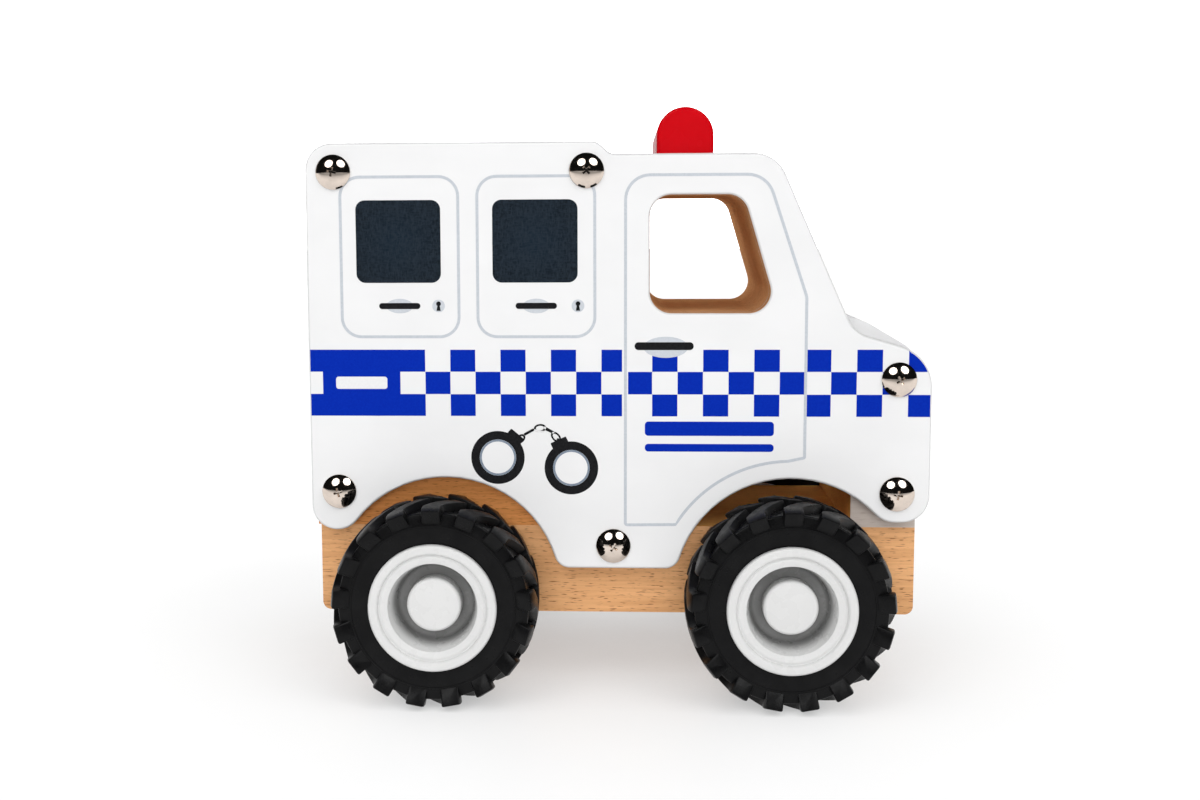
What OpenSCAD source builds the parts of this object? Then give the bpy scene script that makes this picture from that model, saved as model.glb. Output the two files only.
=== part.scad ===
// Wooden toy police van: a beech core between two painted side panels, on a chassis
// board that carries two steel axles and four chunky rubber tyres.
// Millimetres. +X is the front, +Y is the van's left, and the tyres stand on Z = 0.

/* [Wheels] */
// Diameter of a tyre over its lugs
tyre_d = 52.6; // [48:0.2:58]
// Width of a tyre over its lugs
tyre_w = 23; // [18:0.5:28]
// Space between a tyre and the side of the chassis board
tyre_gap = 2.4; // [1.2:0.1:5]
// Height of the lugs at the middle of the tread
lug_h = 2.3; // [1.5:0.1:3.6]
// Drop of the tread from its middle to the start of its shoulders
tread_drop = 0.6; // [0.3:0.1:1.5]
// Drop of the tread from its middle to its outer edges
edge_drop = 1.3; // [0.8:0.1:2.2]
// Width of the sloping shoulder at a lug's outer end
shoulder_w = 2.2; // [1:0.1:3.5]
// Lugs in each half of the tread
lug_count = 17; // [12:1:20]
// Width of a lug at the shoulder
lug_w = 4.8; // [3:0.1:6]
// Width of a lug at the middle of the tread
lug_tip_w = 3.4; // [2:0.1:5]
// Length of the straight block at a lug's outer end
lug_block = 4; // [2:0.1:6]
// How far round the tread a lug sweeps
lug_sweep = 6.5; // [0:0.5:9]
// Depth of the flat sidewall behind the lug shoulders
sidewall_in = 2.6; // [1.5:0.1:4]
// Width of the flat ring on the sidewall outside the rim
sidewall_ring = 4.8; // [3:0.1:5.5]
// Width of the slope from the grooves between the lugs down to that ring
groove_slope = 0.6; // [0.3:0.1:3]
// Diameter of the rim's lip
rim_d = 32.4; // [28:0.2:36]
// How far the lip grips over the edge of the tyre's bore
lip_grip = 0.7; // [0.4:0.1:1.5]
// Thickness of the rim's lips
lip_t = 1.6; // [1:0.1:2.4]
// Diameter of the step inside the rim's lip
step_d = 27.6; // [25:0.2:29]
// Depth of the step inside the rim's lip
step_in = 1.1; // [0.4:0.1:1.4]
// Diameter of the dish at its mouth
dish_d = 22.6; // [20:0.2:24]
// Diameter of the dish at its floor
dish_floor_d = 19.2; // [16:0.2:20]
// Depth of the dish below the rim's lip
dish_in = 9; // [6:0.1:11]
// Thickness of the floor of the dish
web_t = 3; // [2:0.1:5]
// Wall of the hub's barrel
barrel_t = 2.2; // [1.5:0.1:3]
// Diameter of the hub's inner boss
boss_d = 11; // [9:0.2:14]
// Diameter of the cap pressed on the axle's end
cap_d = 13.8; // [10:0.2:15]
// Thickness of that cap
cap_t = 4.9; // [3.6:0.1:6]
// Rounding of the cap's edge
cap_r = 1; // [0.4:0.1:1.5]

/* [Axles] */
// Distance between the two axles
wheelbase = 89.4; // [80:0.2:100]
// Diameter of an axle
axle_d = 5; // [4:0.1:6.5]
// Depth of an axle's end in its cap
axle_in_cap = 3.2; // [2:0.1:3.4]
// Height of the axles above the underside of the chassis board
axle_up = 6.9; // [5:0.1:10]
// How far the axles sit behind the middles of the wheel arches
axle_back = 1.4; // [0:0.1:1.8]
// Radial running clearance of a hub on its axle
run_clear = 0.08; // [0.04:0.01:0.1]
// Radial clearance of pieces that are pressed or glued together
glue_clear = 0.05; // [0.02:0.01:0.1]
// End play of a hub on its axle, at each end
end_play = 0.35; // [0.2:0.05:0.8]

/* [Chassis] */
// Width of the wooden core and the chassis board
core_w = 59.2; // [50:0.2:70]
// Thickness of the chassis board
chassis_t = 23.2; // [18:0.1:28]
// How much shorter the chassis board is than the panels, at each end
chassis_short = 2; // [0.5:0.1:4]
// How far the chassis board sits behind the middle of the panels
chassis_back = 0.65; // [0:0.05:1.4]
// Rounding of the chassis board's lower ends
chassis_r = 2.2; // [1:0.1:5]

/* [Side panels] */
// Thickness of a side panel
panel_t = 5; // [3:0.1:8]
// Rear end of the panels to the rear wheel arch's middle
rear_overhang = 35.3; // [33:0.1:40]
// Front end of the panels to the front wheel arch's middle
front_overhang = 35.3; // [33:0.1:40]
// Space between a tyre and its wheel arch
arch_gap = 3.5; // [2.5:0.1:5]
// Depth of the skirt between the wheel arches, below the chassis board's top
skirt_drop = 10.3; // [6:0.1:14]
// Rounding of the skirt's corners
skirt_r = 4; // [2:0.1:6]
// Depth of the rear lobe below the chassis board's top
rear_lobe_drop = 0.5; // [0:0.1:2]
// Rounding of the rear lobe
rear_lobe_r = 6.5; // [3:0.1:7]
// Height of the front lobe above the chassis board's top
front_lobe_up = 2.2; // [0:0.1:4]
// Rounding of the front lobe
front_lobe_r = 7; // [3:0.1:8]
// Height of the rear roof above the chassis board
rear_roof_h = 99.9; // [94:0.1:110]
// Rounding of the rear roof's end
rear_top_r = 7; // [3:0.1:12]
// Rear end of the panels to the joint between the rear and cab blocks
rear_len = 82; // [76:0.1:86]
// Step down from the rear roof to the cab roof
roof_step = 3.2; // [1.5:0.1:6]
// Distance of the roof's step behind that joint
roof_step_back = 5.5; // [4:0.1:9]
// Run of the roof's step
roof_step_run = 3.6; // [2.5:0.1:6]
// Rounding of the roof's step
roof_step_r = 3.4; // [1:0.1:4]
// Rounding between the cab roof and the windscreen
screen_top_r = 9; // [3:0.1:14]
// Lean of the windscreen
screen_lean = 23.8; // [16:0.1:28]
// Rounding at the foot of the windscreen
screen_foot_r = 8; // [3:0.1:9]
// Front end of the panels to the foot of the windscreen
bonnet_len = 19.9; // [17:0.1:24]
// Height of the windscreen's foot above the chassis board
bonnet_h = 51.3; // [46:0.1:55]
// Slope of the bonnet
bonnet_slope = 16.6; // [8:0.1:20]
// Rounding of the nose
nose_r = 11; // [5:0.1:12]

/* [Core blocks] */
// How far the core's outside lies inside the panels' outline
core_inset = 0.6; // [0.2:0.1:1.5]
// Height at which the crowned bonnet meets the windscreen, above the windscreen's foot
crown_h = 4.4; // [3:0.1:6]
// Foot of the windscreen to the brow of the crown
crown_run = 3.4; // [2:0.1:6]
// Slope of the crown in front of its brow
crown_slope = 30.9; // [24:0.1:34]
// Rounding of the brow
crown_r = 16; // [4:0.5:20]
// Rounding where the crown meets the windscreen
crown_foot_r = 2; // [0.5:0.1:4]
// Length of the bonnet block behind the front end of the panels
nose_len = 19.3; // [17:0.1:22]
// Depth of the cab block below the foot of the windscreen
cab_drop = 13.9; // [11:0.1:20]

/* [Cab window] */
// Wood between the rear joint and the window
window_post = 6.3; // [4:0.1:9]
// Wood between the window and the cab roof
window_head = 10.4; // [7:0.1:14]
// Height of the window
window_h = 30; // [24:0.1:32]
// Length of the window along its sill
window_w = 32.5; // [28:0.1:36]
// Lean of the window's front edge
window_lean = 16.6; // [8:0.1:22]
// Rounding of the window's corners
window_r = 5.5; // [2:0.1:7]

/* [Beacon] */
// Length of the beacon along the van
beacon_w = 14.6; // [10:0.2:20]
// Height of the beacon above the cab roof
beacon_h = 12; // [8:0.1:18]
// Middle of the beacon in front of the rear joint
beacon_x = 15.3; // [12:0.1:24]
// How far the beacon's ends lie inside the core's sides
beacon_inset = 0.6; // [0:0.1:6]

/* [Dowels] */
// Diameter of the dowels
dowel_d = 6; // [4:0.1:7]
// Depth of a dowel in each of its two pieces
dowel_in = 10; // [6:0.1:11]
// Depth of the beacon's dowels in each piece
beacon_dowel_in = 6; // [4:0.1:7]
// Distance between the two dowels of a pair
dowel_apart = 22; // [16:0.5:26]
// Space left at the end of a dowel's hole
dowel_space = 0.5; // [0.3:0.1:0.8]
// Dowels of the rear block from its ends
dowel_end = 15; // [12:0.5:20]
// Height of the cab's dowels above the cab block's underside
cab_dowel_up = 6; // [5:0.1:7.5]

/* [Panel screws] */
// Diameter of a screw's shank
screw_d = 3.5; // [2.5:0.1:4.5]
// Length of a screw's shank
screw_len = 18; // [14:0.5:22]
// Length of a screw's point
screw_point = 4; // [2:0.1:5]
// Diameter of a screw's head
head_d = 8.9; // [7:0.1:10]
// Height of a screw's head
head_h = 2.4; // [1.8:0.1:3.8]
// Width of the cross recess
cross_w = 3.2; // [2.5:0.1:5]
// Width of the cross recess's arms
cross_arm = 0.8; // [0.5:0.1:1.4]
// Depth of the cross recess
cross_in = 1.4; // [0.8:0.1:1.6]
// Radial clearance of a shank in a panel
shank_clear = 0.2; // [0.1:0.05:0.5]
// Rear and roof screws from the panels' edges
screw_edge = 7.4; // [6.5:0.1:10]
// Roof screw from the joint between the rear and cab blocks
roof_screw_back = 9.8; // [8:0.1:14]
// Lower screws of the rear and bonnet blocks above the chassis board
low_screw_up = 9.8; // [8:0.1:14]
// Chassis screw below the chassis board's top
skirt_screw_down = 4.2; // [3.5:0.1:6]
// Chassis screw behind the joint between the rear and cab blocks
skirt_screw_back = 3; // [0:0.1:8]
// Bonnet screws from the front end of the panels
nose_screw_back = 8.4; // [7:0.1:10]
// Upper bonnet screw below the foot of the windscreen
nose_screw_down = 12; // [10:0.1:18]

/* [Hidden] */
$fn = 64;
// Largest turn between two points on a rounded corner of an outline
arc_step = 6;
// How far a cut runs past the face that it opens
past = 1;
// Share of the largest rounding that a lobe can take beside its arch
lobe_share = 0.99;
// How far outside the sidewall's ring a lug's end face lands, and how far inside it the lug is rooted
lug_foot = 0.3;
lug_root = 1;

tyre_r = tyre_d / 2;
axle_z = tyre_r;
axle_r = axle_d / 2;
chassis_z = axle_z - axle_up;
deck_z = chassis_z + chassis_t;

body_len = rear_overhang + wheelbase + front_overhang;
rear_x = -body_len / 2;
front_x = body_len / 2;
rear_arch_x = rear_x + rear_overhang;
front_arch_x = front_x - front_overhang;
rear_axle_x = rear_arch_x - axle_back;
front_axle_x = front_arch_x - axle_back;
arch_r = tyre_r + arch_gap;
// The bonnet block ends flush with the chassis board
core_front_x = front_x - chassis_short - chassis_back;

joint_x = rear_x + rear_len;
nose_x = front_x - nose_len;
rear_roof_z = deck_z + rear_roof_h;
cab_roof_z = rear_roof_z - roof_step;
foot_x = front_x - bonnet_len;
foot_z = deck_z + bonnet_h;
cab_z = foot_z - cab_drop;
roof_step_x = joint_x - roof_step_back;
window_x = joint_x + window_post;
window_top_z = cab_roof_z - window_head;
sill_z = window_top_z - window_h;
beacon_mid_x = joint_x + beacon_x;
beacon_z = cab_roof_z - core_inset;

side_y = core_w / 2;
face_y = side_y + panel_t;
wheel_y = side_y + tyre_gap + tyre_w / 2;

// Wheel sizes along its own axis, from the middle of the tyre, outwards positive
half_w = tyre_w / 2;
wall_h = half_w - sidewall_in;
rim_h = wall_h + lip_t;
seat_r = rim_d / 2 - lip_grip;
shoulder_h = half_w - shoulder_w;
ring_r = rim_d / 2 + sidewall_ring;
skin_r = tyre_r - lug_h;
floor_h = rim_h - dish_in;
boss_end = -(tyre_gap + half_w - end_play);
cap_back = floor_h + end_play;
axle_end = cap_back + axle_in_cap;

// Screw places on a panel: along the van, and height
screw_places = [
    [rear_x + screw_edge, rear_roof_z - screw_edge],
    [joint_x - roof_screw_back, rear_roof_z - screw_edge],
    [rear_x + screw_edge, deck_z + low_screw_up],
    [joint_x - skirt_screw_back, deck_z - skirt_screw_down],
    [front_x - nose_screw_back, foot_z - nose_screw_down],
    [front_x - nose_screw_back, deck_z + low_screw_up]
];
// Upright dowels between the chassis board and the blocks on it
deck_dowel_xs = [rear_x + dowel_end, joint_x - dowel_end, (nose_x + core_front_x) / 2];
// Level dowels that join the cab block to its neighbours
cab_dowel_xs = [joint_x, nose_x];
cab_dowel_z = cab_z + cab_dowel_up;

// Points on an arc from one angle to another
function arc(centre, radius, from, to) =
    let (steps = ceil(abs(to - from) / arc_step))
    [
        for (i = [0:steps])
        let (a = from + (to - from) * i / steps)
        centre + radius * [cos(a), sin(a)]
    ];

function unit(v) = v / norm(v);

// The corner at b between a and c, rounded
function rounded_corner(a, b, c, radius) =
    let (
        to_a = unit(a - b),
        to_c = unit(c - b),
        half = acos(to_a * to_c) / 2,
        centre = b + unit(to_a + to_c) * radius / sin(half),
        first = b + to_a * radius / tan(half) - centre,
        start = atan2(first[1], first[0]),
        side = sign(cross(to_c, to_a))
    )
    arc(centre, radius, start, start + side * (180 - 2 * half));

// A closed outline from corners given as [x, z, rounding]
function rounded_outline(corners) = [
    for (i = [0:len(corners) - 1])
    let (
        count = len(corners),
        before = corners[(i + count - 1) % count],
        here = corners[i],
        after = corners[(i + 1) % count],
        b = [here[0], here[1]]
    )
    each here[2] > 0
        ? rounded_corner([before[0], before[1]], b, [after[0], after[1]], here[2])
        : [b]
];

// Corners of the roof line from the rear end to a nose at end_x, drawn in by an inset
function roof_line(inset, end_x) =
    let (
        lean_t = tan(screen_lean),
        slope_t = tan(bonnet_slope),
        lean_d = inset / cos(screen_lean),
        slope_d = inset / cos(bonnet_slope),
        foot_dx = (slope_d * lean_t - lean_d) / (1 - slope_t * lean_t),
        foot_dz = -foot_dx * slope_t - slope_d,
        roof_z = cab_roof_z - inset,
        top_x = foot_x + foot_dx - (roof_z - foot_z - foot_dz) * lean_t,
        nose_z = foot_z - (end_x - foot_x) * slope_t - slope_d
    )
    [
        [rear_x + inset, rear_roof_z - inset, rear_top_r - inset],
        [roof_step_x - roof_step_run / 2, rear_roof_z - inset, roof_step_r],
        [roof_step_x + roof_step_run / 2, roof_z, roof_step_r],
        [top_x, roof_z, screen_top_r - inset],
        [foot_x + foot_dx, foot_z + foot_dz, screen_foot_r],
        [end_x, nose_z, nose_r - (front_x - end_x)]
    ];

// Corners of the core's roof line, which leaves the panels' at the windscreen for a crowned bonnet
function core_line(end_x) =
    let (
        line = roof_line(core_inset, end_x),
        meet_z = foot_z + crown_h,
        meet_x = line[4][0] - (meet_z - line[4][1]) * tan(screen_lean),
        brow_x = foot_x + crown_run,
        brow_z = meet_z - (brow_x - meet_x) * tan(bonnet_slope),
        nose_z = brow_z - (end_x - brow_x) * tan(crown_slope)
    )
    concat(
        [for (i = [0:3]) line[i]],
        [[meet_x, meet_z, crown_foot_r], [brow_x, brow_z, crown_r], [end_x, nose_z, line[5][2]]]
    );

// Radius of a lobe with a level lower edge at z, kept within the width of wood beside its arch
function lobe_r(radius, overhang, z) =
    let (
        rise = z - axle_z,
        reach = overhang + arch_r - rise,
        most = reach - sqrt(pow(reach, 2) - pow(overhang, 2) + pow(arch_r, 2) - pow(rise, 2))
    )
    min(radius, lobe_share * most);

// Rise and run from a wheel arch's middle to the middle of a rounded corner on a level edge beside it
function corner_rise(z, radius) = z + radius - axle_z;
function corner_run(z, radius) = sqrt(pow(arch_r + radius, 2) - pow(corner_rise(z, radius), 2));

// The lower edge round a wheel arch, from the level edge in front of it to the one behind it
function arch_edge(arch_x, front_z, front_r, back_z, back_r) =
    let (
        front_run = corner_run(front_z, front_r),
        back_run = corner_run(back_z, back_r),
        front_a = atan2(corner_rise(front_z, front_r), front_run),
        back_a = 180 - atan2(corner_rise(back_z, back_r), back_run),
        over = arc([arch_x, axle_z], arch_r, front_a, back_a)
    )
    concat(
        arc([arch_x + front_run, front_z + front_r], front_r, -90, front_a - 180),
        [for (i = [1:len(over) - 2]) over[i]],
        arc([arch_x - back_run, back_z + back_r], back_r, back_a - 180, -90)
    );

module upright(y0, depth) {
    translate([0, y0 + depth, 0])
    rotate([90, 0, 0])
    linear_extrude(depth)
    children();
}

module panel_outline() {
    rear_z = deck_z - rear_lobe_drop;
    front_z = deck_z + front_lobe_up;
    skirt_z = deck_z - skirt_drop;
    rear_r = lobe_r(rear_lobe_r, rear_overhang, rear_z);
    front_r = lobe_r(front_lobe_r, front_overhang, front_z);
    ends_and_roof = rounded_outline(concat(
        [[rear_x, rear_z, rear_r]],
        roof_line(0, front_x),
        [[front_x, front_z, front_r], [front_arch_x, front_z, 0], [rear_arch_x, rear_z, 0]]
    ));
    // The last two points stand under the arches, and the real lower edge takes their place
    difference() {
        polygon(concat(
            [for (i = [0:len(ends_and_roof) - 3]) ends_and_roof[i]],
            arch_edge(front_arch_x, front_z, front_r, skirt_z, skirt_r),
            arch_edge(rear_arch_x, skirt_z, skirt_r, rear_z, rear_r)
        ));
        window_outline();
    }
}

module window_outline() {
    lean_x = window_h * tan(window_lean);
    polygon(rounded_outline([
        [window_x, sill_z, window_r],
        [window_x, window_top_z, window_r],
        [window_x + window_w - lean_x, window_top_z, window_r],
        [window_x + window_w, sill_z, window_r]
    ]));
}

// The part of the core's outline between two places along the van and above a height
module core_outline(x0, x1, z0) {
    intersection() {
        polygon(rounded_outline(concat(
            [[rear_x + core_inset, deck_z, 0]],
            core_line(core_front_x),
            [[core_front_x, deck_z, 0]]
        )));
        translate([x0, z0]) square([x1 - x0, rear_roof_z - z0]);
    }
}

module dowel(depth, clearance) {
    cylinder(h = 2 * depth, r = dowel_d / 2 + clearance, center = true);
}

// Upright dowels in the deck, or the holes for them
module deck_dowel_set(depth, clearance) {
    for (x = deck_dowel_xs, side = [-1, 1])
        translate([x, side * dowel_apart / 2, deck_z])
        dowel(depth, clearance);
}

// Level dowels at both ends of the cab block, or the holes for them
module cab_dowel_set(depth, clearance) {
    for (x = cab_dowel_xs, side = [-1, 1])
        translate([x, side * dowel_apart / 2, cab_dowel_z])
        rotate([0, 90, 0])
        dowel(depth, clearance);
}

module beacon_dowel_set(depth, clearance) {
    for (side = [-1, 1])
        translate([beacon_mid_x, side * dowel_apart / 2, beacon_z])
        dowel(depth, clearance);
}

// Copies of a child that points inwards from each screw's place on both panels
module at_screws(side) {
    for (place = screw_places)
        mirror([0, side > 0 ? 1 : 0, 0])
        translate([place[0], -face_y, place[1]])
        rotate([-90, 0, 0])
        children();
}

module pilot_holes() {
    for (side = [-1, 1])
        at_screws(side)
        cylinder(h = screw_len + dowel_space, r = screw_d / 2 + glue_clear);
}

module panel_screw() {
    dome_r = (pow(head_d / 2, 2) + pow(head_h, 2)) / (2 * head_h);
    difference() {
        union() {
            cylinder(h = screw_len - screw_point, r = screw_d / 2);
            translate([0, 0, screw_len - screw_point])
                cylinder(h = screw_point, r1 = screw_d / 2, r2 = screw_d / 10);
            intersection() {
                translate([0, 0, dome_r - head_h]) sphere(dome_r);
                translate([0, 0, -head_h]) cylinder(h = head_h, r = head_d);
            }
        }
        for (turn = [0, 90])
            rotate([0, 0, turn])
            translate([-cross_w / 2, -cross_arm / 2, -head_h - past])
            cube([cross_w, cross_arm, cross_in + past]);
    }
}

module side_panel() {
    difference() {
        upright(-face_y, panel_t) panel_outline();
        at_screws(-1)
            translate([0, 0, -past])
            cylinder(h = panel_t + 2 * past, r = screw_d / 2 + shank_clear);
    }
}

module chassis_board() {
    color("burlywood")
    difference() {
        translate([-chassis_back, 0, 0])
            upright(-side_y, core_w)
            polygon(rounded_outline([
                [rear_x + chassis_short, chassis_z, chassis_r],
                [rear_x + chassis_short, deck_z, 0],
                [front_x - chassis_short, deck_z, 0],
                [front_x - chassis_short, chassis_z, chassis_r]
            ]));
        for (x = [rear_axle_x, front_axle_x])
            translate([x, 0, axle_z])
            rotate([90, 0, 0])
            cylinder(h = core_w + 2 * past, r = axle_r + glue_clear, center = true);
        deck_dowel_set(dowel_in + dowel_space, glue_clear);
        pilot_holes();
    }
}

module rear_block() {
    color("burlywood")
    difference() {
        upright(-side_y, core_w) core_outline(rear_x, joint_x, deck_z);
        deck_dowel_set(dowel_in + dowel_space, glue_clear);
        cab_dowel_set(dowel_in + dowel_space, glue_clear);
        pilot_holes();
    }
}

module cab_block() {
    color("burlywood")
    difference() {
        upright(-side_y, core_w)
            difference() {
                core_outline(joint_x, nose_x, cab_z);
                window_outline();
            }
        cab_dowel_set(dowel_in + dowel_space, glue_clear);
        beacon_dowel_set(beacon_dowel_in + dowel_space, glue_clear);
    }
}

module bonnet_block() {
    color("white")
    difference() {
        upright(-side_y, core_w) core_outline(nose_x, front_x, deck_z);
        deck_dowel_set(dowel_in + dowel_space, glue_clear);
        cab_dowel_set(dowel_in + dowel_space, glue_clear);
        pilot_holes();
    }
}

module right_side_panel() {
    color("white") side_panel();
}

module left_side_panel() {
    color("white") mirror([0, 1, 0]) side_panel();
}

module right_panel_screws() {
    color("silver") at_screws(-1) panel_screw();
}

module left_panel_screws() {
    color("silver") at_screws(1) panel_screw();
}

module deck_dowels() {
    color("wheat") deck_dowel_set(dowel_in, 0);
}

module cab_dowels() {
    color("wheat") cab_dowel_set(dowel_in, 0);
}

// A bar with straight sides and a half-round top, across the cab roof
module beacon() {
    beacon_r = beacon_w / 2;
    straight_h = beacon_h + core_inset - beacon_r;
    length = core_w - 2 * beacon_inset;
    color("red")
    difference() {
        translate([beacon_mid_x, 0, beacon_z])
            upright(-length / 2, length)
            polygon(concat(
                [[-beacon_r, 0], [beacon_r, 0]],
                arc([0, straight_h], beacon_r, 0, 180)
            ));
        beacon_dowel_set(beacon_dowel_in + dowel_space, glue_clear);
    }
}

module beacon_dowels() {
    color("wheat") beacon_dowel_set(beacon_dowel_in, 0);
}

module axle(x) {
    color("silver")
    translate([x, 0, axle_z])
    rotate([90, 0, 0])
    cylinder(h = 2 * (wheel_y + axle_end), r = axle_r, center = true);
}

module front_axle() {
    axle(front_axle_x);
}

module rear_axle() {
    axle(rear_axle_x);
}

// A child drawn along its own axis goes to its wheel, outwards from the van; side is -1 on the right
module at_wheel(x, side) {
    translate([x, side * wheel_y, axle_z])
    rotate([90, 0, side > 0 ? 180 : 0])
    children();
}

module hub() {
    color("white")
    rotate_extrude()
    polygon([
        [axle_r + run_clear, boss_end],
        [boss_d / 2, boss_end],
        [boss_d / 2, floor_h - web_t],
        [seat_r - barrel_t, floor_h - web_t],
        [seat_r - barrel_t, -rim_h],
        [rim_d / 2, -rim_h],
        [rim_d / 2, -wall_h],
        [seat_r, -wall_h],
        [seat_r, wall_h],
        [rim_d / 2, wall_h],
        [rim_d / 2, rim_h],
        [step_d / 2, rim_h],
        [step_d / 2, rim_h - step_in],
        [dish_d / 2, rim_h - step_in],
        [dish_floor_d / 2, floor_h],
        [axle_r + run_clear, floor_h]
    ]);
}

// A ring whose section is given on its outer half as [radius, height] points
module tyre_ring(points) {
    rotate_extrude()
    for (half = [0, 1])
        mirror([0, half])
        polygon(points);
}

// The sweeping bar of one lug, as seen from outside the tread
module lug_outline() {
    block_h = half_w - lug_block;
    polygon([
        [-lug_w / 2, half_w + past],
        [-lug_w / 2, block_h],
        [-lug_sweep - lug_tip_w / 2, 0],
        [-lug_sweep + lug_tip_w / 2, 0],
        [lug_w / 2, block_h],
        [lug_w / 2, half_w + past]
    ]);
}

// The skin at the floor of the grooves, and the lugs on it, the first one at the top
module tyre() {
    bore_r = seat_r + glue_clear;
    edge_r = tyre_r - edge_drop;
    foot_r = ring_r + lug_foot;
    root_r = ring_r - lug_root;
    end_slope = sidewall_in / (edge_r - foot_r);
    color("dimgray")
    union() {
        tyre_ring([
            [bore_r, 0],
            [skin_r, 0],
            [skin_r, wall_h - groove_slope],
            [ring_r, wall_h],
            [bore_r, wall_h]
        ]);
        intersection() {
            tyre_ring([
                [root_r, 0],
                [tyre_r, 0],
                [tyre_r - tread_drop / 4, shoulder_h / 2],
                [tyre_r - tread_drop, shoulder_h],
                [edge_r, half_w],
                [root_r, wall_h - (foot_r - root_r) * end_slope]
            ]);
            for (i = [0:lug_count - 1], half = [0, 1])
                mirror([0, 0, half])
                rotate([0, 0, 90 + (i + half / 2) * 360 / lug_count])
                rotate([90, 0, 90])
                translate([0, 0, root_r - past])
                linear_extrude(tyre_r - root_r + 2 * past)
                lug_outline();
        }
    }
}

// The cap that is pressed on an axle's end and keeps the hub on
module axle_cap() {
    color("white")
    difference() {
        translate([0, 0, cap_back])
            rotate_extrude()
            polygon(concat(
                [[0, 0], [cap_d / 2, 0]],
                arc([cap_d / 2 - cap_r, cap_t - cap_r], cap_r, 0, 90),
                [[0, cap_t]]
            ));
        translate([0, 0, cap_back - past])
            cylinder(h = axle_in_cap + dowel_space + past, r = axle_r + glue_clear);
    }
}

module front_right_hub() { at_wheel(front_axle_x, -1) hub(); }
module front_right_tyre() { at_wheel(front_axle_x, -1) tyre(); }
module front_right_cap() { at_wheel(front_axle_x, -1) axle_cap(); }
module front_left_hub() { at_wheel(front_axle_x, 1) hub(); }
module front_left_tyre() { at_wheel(front_axle_x, 1) tyre(); }
module front_left_cap() { at_wheel(front_axle_x, 1) axle_cap(); }
module rear_right_hub() { at_wheel(rear_axle_x, -1) hub(); }
module rear_right_tyre() { at_wheel(rear_axle_x, -1) tyre(); }
module rear_right_cap() { at_wheel(rear_axle_x, -1) axle_cap(); }
module rear_left_hub() { at_wheel(rear_axle_x, 1) hub(); }
module rear_left_tyre() { at_wheel(rear_axle_x, 1) tyre(); }
module rear_left_cap() { at_wheel(rear_axle_x, 1) axle_cap(); }

chassis_board();
rear_block();
cab_block();
bonnet_block();
right_side_panel();
left_side_panel();
right_panel_screws();
left_panel_screws();
deck_dowels();
cab_dowels();
beacon();
beacon_dowels();
front_axle();
rear_axle();
front_right_hub();
front_right_tyre();
front_right_cap();
front_left_hub();
front_left_tyre();
front_left_cap();
rear_right_hub();
rear_right_tyre();
rear_right_cap();
rear_left_hub();
rear_left_tyre();
rear_left_cap();
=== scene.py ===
import math

import bpy
from mathutils import Matrix, Vector


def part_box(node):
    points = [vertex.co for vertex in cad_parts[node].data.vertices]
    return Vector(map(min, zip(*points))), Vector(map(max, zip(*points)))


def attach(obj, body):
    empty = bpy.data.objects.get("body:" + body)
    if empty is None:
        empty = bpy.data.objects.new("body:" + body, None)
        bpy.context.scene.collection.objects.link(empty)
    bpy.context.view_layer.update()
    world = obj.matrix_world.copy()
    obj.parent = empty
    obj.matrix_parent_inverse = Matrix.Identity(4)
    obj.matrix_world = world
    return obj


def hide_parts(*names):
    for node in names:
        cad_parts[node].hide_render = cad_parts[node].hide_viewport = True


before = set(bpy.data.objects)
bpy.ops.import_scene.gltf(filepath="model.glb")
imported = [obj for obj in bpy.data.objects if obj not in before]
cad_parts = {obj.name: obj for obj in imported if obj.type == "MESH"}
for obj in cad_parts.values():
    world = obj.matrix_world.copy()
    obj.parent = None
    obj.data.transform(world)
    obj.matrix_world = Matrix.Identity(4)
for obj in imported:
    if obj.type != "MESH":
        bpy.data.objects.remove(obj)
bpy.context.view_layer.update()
mm = 0.001  # sizes below are in millimetres, Blender works in metres
micron = 0.001 * mm  # for welding
print("frame loaded:", len(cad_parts), "nodes")


# small helpers, each one a step done by hand in the viewport

def onlySelect(piece):
    bpy.ops.object.select_all(action="DESELECT")
    piece.select_set(True)
    bpy.context.view_layer.objects.active = piece


def intoEdit(piece, mode="FACE", everything=False):
    onlySelect(piece)
    bpy.ops.object.mode_set(mode="EDIT")
    bpy.ops.mesh.select_mode(type=mode)
    bpy.ops.mesh.select_all(action="SELECT" if everything else "DESELECT")


def outOfEdit():
    bpy.ops.object.mode_set(mode="OBJECT")


# leaves the piece in edit mode with the wanted edges picked
def pickEdges(piece, wanted):
    intoEdit(piece, "EDGE")
    outOfEdit()
    for edge in piece.data.edges:
        edge.select = wanted(*(piece.data.vertices[i] for i in edge.vertices))
    bpy.ops.object.mode_set(mode="EDIT")


def mergeAndTurnOut(piece, distance=micron):
    intoEdit(piece, "VERT", everything=True)
    bpy.ops.mesh.remove_doubles(threshold=distance)
    bpy.ops.mesh.normals_make_consistent(inside=False)
    outOfEdit()


def applyModifier(piece, kind, **settings):
    onlySelect(piece)
    modifier = piece.modifiers.new(kind.lower(), kind)
    for setting, value in settings.items():
        setattr(modifier, setting, value)
    bpy.ops.object.modifier_apply(modifier=modifier.name)


def smooth(piece, degrees=35):
    onlySelect(piece)
    bpy.ops.object.shade_smooth_by_angle(angle=math.radians(degrees))


def applyPlace(piece):
    onlySelect(piece)
    bpy.ops.object.transform_apply(location=True, rotation=True, scale=True)


def ownCopy(piece, name):
    onlySelect(piece)
    bpy.ops.object.duplicate(linked=False)
    copied = bpy.context.object
    copied.name = copied.data.name = name
    return copied


def joinInto(first, others):
    bpy.ops.object.select_all(action="DESELECT")
    for piece in [first] + others:
        piece.select_set(True)
    bpy.context.view_layer.objects.active = first
    bpy.ops.object.join()
    return first


def dress(piece, finish):
    piece.data.materials.clear()
    piece.data.materials.append(finish)


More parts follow.
